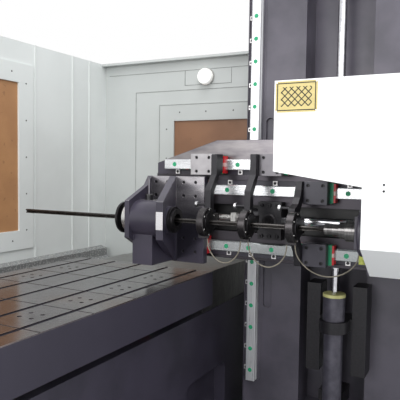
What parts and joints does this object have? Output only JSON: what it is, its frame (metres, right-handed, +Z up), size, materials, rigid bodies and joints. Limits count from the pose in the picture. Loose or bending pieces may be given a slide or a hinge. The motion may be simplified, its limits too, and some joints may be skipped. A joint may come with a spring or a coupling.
{
  "type": "cnc deep hole drilling machine",
  "caption": "Deep hole drilling machine: a gun drill on a climbing beam, steadied by whip guides and a bush housing, over a sliding T-slot table.",
  "frame": {"origin": "on the floor, in the middle of the footprint", "axes": "+X along the drill towards the spindle, +Y away from the operator along the table's travel, +Z up"},
  "size_m": [3.1, 2.466, 2.56],
  "materials": {
    "cast_paint": "satin dark violet-grey paint",
    "ground_steel": "ground face",
    "rail_steel": "ground and polished",
    "block_steel": "ground",
    "guard_paint": "smooth pale enamel",
    "tray_paint": "satin enamel",
    "filmed_glass": "brown protective film",
    "lamp_white": "frosted",
    "black_oxide": "black oxide",
    "cover_white": "gloss white enamel",
    "motor_black": "satin black",
    "chrome_rod": "polished",
    "ring_yellow": "satin",
    "dark_steel": "dark",
    "bright_steel": "turned",
    "wire_beige": "thin sheath",
    "fitting_yellow": "plated"
  },
  "bodies": {
    "base": {"base_tray": "tray_paint", "left_wall": "guard_paint", "back_wall": "guard_paint", "windows": "filmed_glass", "work_lamp": "lamp_white", "chip_channel": "tray_paint", "table_bed": "cast_paint", "table_rails": "rail_steel", "screw_supports": "dark_steel", "servo_motors": "motor_black", "column": "cast_paint", "column_rails": "rail_steel", "column_clamps": "bright_steel", "balance_cylinder": "dark_steel", "balance_ring": "ring_yellow", "balance_bracket": "motor_black", "rear_cover_fixed": "ground_steel"},
    "table": {"table": "ground_steel", "table_blocks": "block_steel", "table_nut": "block_steel", "rear_cover_table": "ground_steel"},
    "cover_section": {"rear_cover_middle": "ground_steel"},
    "table_screw": {"table_screw": "chrome_rod"},
    "vertical_screw": {"vertical_screw": "chrome_rod"},
    "beam": {"beam": "ground_steel", "beam_rails": "rail_steel", "beam_clamps": "bright_steel", "vertical_blocks": "block_steel", "vertical_nut": "block_steel", "balance_rod": "chrome_rod", "feed_bearings": "black_oxide", "push_cylinder": "bright_steel", "feed_motor": "motor_black", "spindle_cover": "cover_white"},
    "feed_screw": {"feed_screw": "chrome_rod"},
    "bush": {"bush_housing": "cast_paint", "bush_blocks": "block_steel", "drill_bush": "bright_steel", "rear_rings": "dark_steel", "lock_pin": "black_oxide", "push_rod": "chrome_rod"},
    "feed": {"feed_carriage": "cast_paint", "feed_blocks": "block_steel", "spindle_housing": "cast_paint", "spindle_motor": "motor_black", "grease_fittings": "fitting_yellow", "wire_3": "wire_beige"},
    "drill": {"spindle": "bright_steel", "drill": "dark_steel"},
    "guide_3": {"guide_3_arm": "black_oxide", "guide_3_insert": "dark_steel", "guide_3_carriage": "cast_paint", "wire_2": "wire_beige"},
    "guide_2": {"guide_2_arm": "black_oxide", "guide_2_insert": "dark_steel", "guide_2_carriage": "ground_steel", "wire_1": "wire_beige"},
    "guide_1": {"guide_1_arm": "black_oxide", "guide_1_insert": "dark_steel", "guide_1_carriage": "ground_steel"}
  },
  "joints": [
    {"name": "table_slide", "type": "slide", "parent": "base", "child": "table", "axis": [0, 1, 0], "range_m": [-0.25, 0.25]},
    {"name": "cover_slide", "type": "slide", "parent": "base", "child": "cover_section", "axis": [0, 1, 0], "range_m": [-0.126, 0.126]},
    {"name": "table_screw_spin", "type": "hinge", "parent": "base", "child": "table_screw", "pos_m": [-0.82, 0, 0.684], "axis": [0, 1, 0], "continuous": true},
    {"name": "beam_slide", "type": "slide", "parent": "base", "child": "beam", "axis": [0, 0, 1], "range_m": [-0.05, 0.6]},
    {"name": "vertical_screw_spin", "type": "hinge", "parent": "base", "child": "vertical_screw", "pos_m": [0.125, 0.75, 1.3], "axis": [0, 0, 1], "continuous": true},
    {"name": "bush_slide", "type": "slide", "parent": "beam", "child": "bush", "axis": [1, 0, 0], "range_m": [0, 0.04]},
    {"name": "feed_slide", "type": "slide", "parent": "beam", "child": "feed", "axis": [1, 0, 0], "range_m": [-0.12, 0.35]},
    {"name": "feed_screw_spin", "type": "hinge", "parent": "beam", "child": "feed_screw", "pos_m": [0.5, 0.48, 1.223], "axis": [1, 0, 0], "continuous": true},
    {"name": "guide_3_slide", "type": "slide", "parent": "feed", "child": "guide_3", "axis": [1, 0, 0], "range_m": [-0.0876, 0.0301], "deforming": ["wire_3"]},
    {"name": "guide_2_slide", "type": "slide", "parent": "guide_3", "child": "guide_2", "axis": [1, 0, 0], "range_m": [-0.0876, 0.0301], "deforming": ["wire_2"]},
    {"name": "guide_1_slide", "type": "slide", "parent": "guide_2", "child": "guide_1", "axis": [1, 0, 0], "range_m": [-0.0876, 0.0301], "deforming": ["wire_1"]},
    {"name": "drill_spin", "type": "hinge", "parent": "feed", "child": "drill", "pos_m": [0.3, 0.223, 1.223], "axis": [1, 0, 0], "continuous": true}
  ],
  "couplings": [
    {"joint": "cover_slide", "follows": "table_slide", "ratio": 0.5},
    {"joint": "table_screw_spin", "follows": "table_slide", "rad_per_m": 628.32},
    {"joint": "vertical_screw_spin", "follows": "beam_slide", "rad_per_m": 628.32},
    {"joint": "feed_screw_spin", "follows": "feed_slide", "rad_per_m": 628.32},
    {"joint": "guide_3_slide", "follows": "feed_slide", "ratio": -0.25},
    {"joint": "guide_2_slide", "follows": "feed_slide", "ratio": -0.25},
    {"joint": "guide_1_slide", "follows": "feed_slide", "ratio": -0.25}
  ]
}
